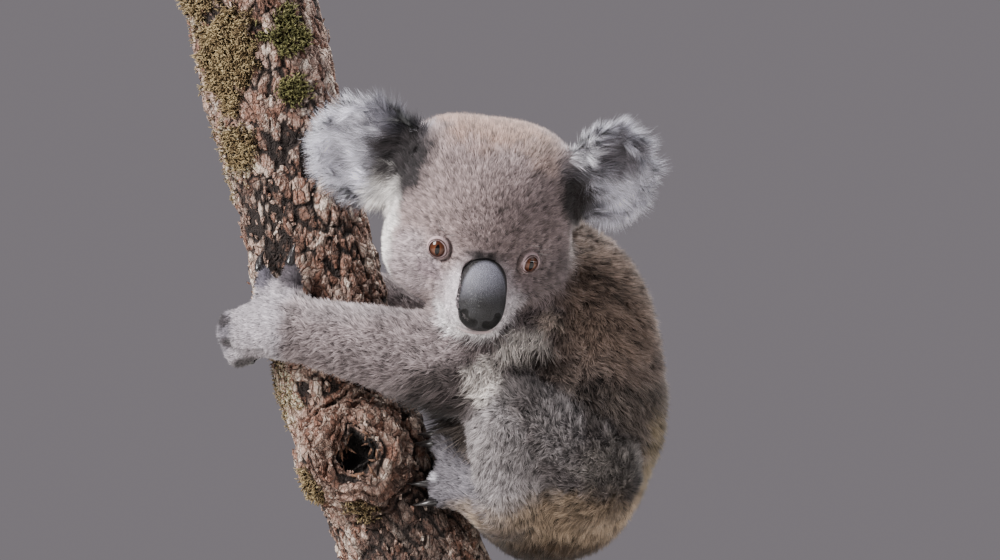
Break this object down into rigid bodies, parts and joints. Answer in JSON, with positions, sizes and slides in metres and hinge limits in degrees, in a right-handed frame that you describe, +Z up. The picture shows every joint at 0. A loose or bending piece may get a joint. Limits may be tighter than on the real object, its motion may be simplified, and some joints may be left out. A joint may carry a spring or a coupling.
{
  "type": "koala on a tree trunk",
  "caption": "Life-size still koala clinging to a leaning cut length of tree trunk with a broken-branch burl, held up by a plain round display stand.",
  "frame": {"origin": "centre of the display stand's underside, on the floor", "axes": "+Z up; the koala's chest and grip face -X towards the trunk, and its head is turned to look towards -Y; +X is the side of its back"},
  "size_m": [0.3901, 0.33, 0.5857],
  "materials": {
    "body_fur": "woolly grey-brown coat",
    "rump_fur": "dense mottled tan and pale coat",
    "arm_fur": "short grey coat",
    "leg_fur": "short woolly grey coat",
    "paw_fur": "short coat over pads",
    "face_fur": "short dense coat",
    "ear_fur": "long ragged hair",
    "leather": "bare pebbled skin",
    "eye": "wet and glossy",
    "claw": "horn, satin",
    "bark": "rough flaking bark",
    "stand": "satin lacquer",
    "steel": "brushed"
  },
  "bodies": {
    "root": {"perch_log": "bark", "stand_base": "stand", "stand_rod_left": "steel", "stand_rod_right": "steel", "neck": "body_fur", "chest": "body_fur", "belly": "body_fur", "rump": "rump_fur", "arm_left_upper": "arm_fur", "arm_left_fore": "arm_fur", "hand_left": "paw_fur", "claw_hand_left_1": "claw", "claw_hand_left_2": "claw", "claw_hand_left_3": "claw", "claw_hand_left_4": "claw", "claw_hand_left_5": "claw", "arm_right_upper": "arm_fur", "arm_right_fore": "arm_fur", "hand_right": "paw_fur", "claw_hand_right_1": "claw", "claw_hand_right_2": "claw", "claw_hand_right_3": "claw", "claw_hand_right_4": "claw", "claw_hand_right_5": "claw", "leg_left_thigh": "leg_fur", "leg_left_shin": "leg_fur", "foot_left": "paw_fur", "claw_foot_left_1": "claw", "claw_foot_left_2": "claw", "claw_foot_left_3": "claw", "claw_foot_left_4": "claw", "leg_right_thigh": "leg_fur", "leg_right_shin": "leg_fur", "foot_right": "paw_fur", "claw_foot_right_1": "claw", "claw_foot_right_2": "claw", "claw_foot_right_3": "claw", "claw_foot_right_4": "claw", "eye_left": "eye", "eye_right": "eye", "nose": "leather", "muzzle": "face_fur", "head": "face_fur", "ear_right": "ear_fur", "ear_left": "ear_fur"}
  },
  "joints": []
}
